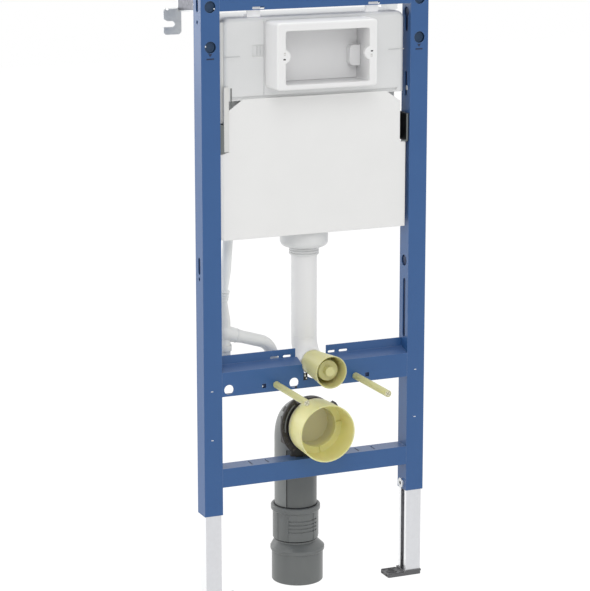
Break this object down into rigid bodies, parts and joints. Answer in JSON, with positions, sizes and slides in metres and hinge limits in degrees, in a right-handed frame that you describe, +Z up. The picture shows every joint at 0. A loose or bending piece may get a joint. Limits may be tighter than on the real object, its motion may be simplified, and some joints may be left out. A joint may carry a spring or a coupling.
{
  "type": "wall hung toilet frame",
  "caption": "Steel installation frame for a wall hung toilet, with a flat cistern, flush pipe, waste bend, pan studs and telescoping legs, to be bolted to wall and floor.",
  "frame": {"origin": "on the rear face of the left wall plate, at the height of its slot and on the middle line of the left upright", "axes": "+X to the right seen from the front, +Y into the wall, +Z up"},
  "size_m": [0.528, 0.333, 1.2635],
  "materials": {
    "blue_powder_coat": "satin powder coat",
    "galvanised_steel": "galvanised",
    "white_plastic": "matt",
    "pale_plastic": "matt",
    "yellow_plastic": "satin, soft",
    "grey_polyethylene": "satin",
    "black_plastic": "satin",
    "dark_steel": "satin"
  },
  "bodies": {
    "frame": {"cistern_body": "white_plastic", "cistern_front_cover": "white_plastic", "conduit_branch": "pale_plastic", "conduit_coupling": "pale_plastic", "conduit_tube": "pale_plastic", "flush_bend": "pale_plastic", "flush_pipe": "pale_plastic", "flush_plug": "yellow_plastic", "left_cistern_clip": "black_plastic", "left_cistern_hanger": "white_plastic", "left_leg_lock_screw": "galvanised_steel", "left_stud": "galvanised_steel", "left_stud_nut": "galvanised_steel", "left_stud_sleeve": "yellow_plastic", "left_upright": "blue_powder_coat", "left_wall_arm": "galvanised_steel", "left_wall_plate": "galvanised_steel", "lower_crossbar": "blue_powder_coat", "middle_crossbar": "blue_powder_coat", "outlet_collar": "pale_plastic", "right_cistern_clip": "black_plastic", "right_cistern_hanger": "white_plastic", "right_leg_lock_screw": "galvanised_steel", "right_stud": "galvanised_steel", "right_stud_nut": "galvanised_steel", "right_stud_sleeve": "yellow_plastic", "right_upright": "blue_powder_coat", "right_wall_arm": "galvanised_steel", "right_wall_plate": "galvanised_steel", "service_box": "white_plastic", "service_plate": "pale_plastic", "top_crossbar": "blue_powder_coat", "waste_bend": "grey_polyethylene", "waste_clamp": "black_plastic", "waste_plug": "yellow_plastic", "waste_reducer": "grey_polyethylene", "waste_sleeve": "grey_polyethylene"},
    "left_leg": {"left_leg": "galvanised_steel", "left_foot_plate": "dark_steel"},
    "right_leg": {"right_leg": "galvanised_steel", "right_foot_plate": "dark_steel"}
  },
  "joints": [
    {"name": "left_leg_slide", "type": "slide", "parent": "frame", "child": "left_leg", "axis": [0, 0, 1], "range_m": [-0.062, 0.138]},
    {"name": "right_leg_slide", "type": "slide", "parent": "frame", "child": "right_leg", "axis": [0, 0, 1], "range_m": [-0.062, 0.138]}
  ]
}
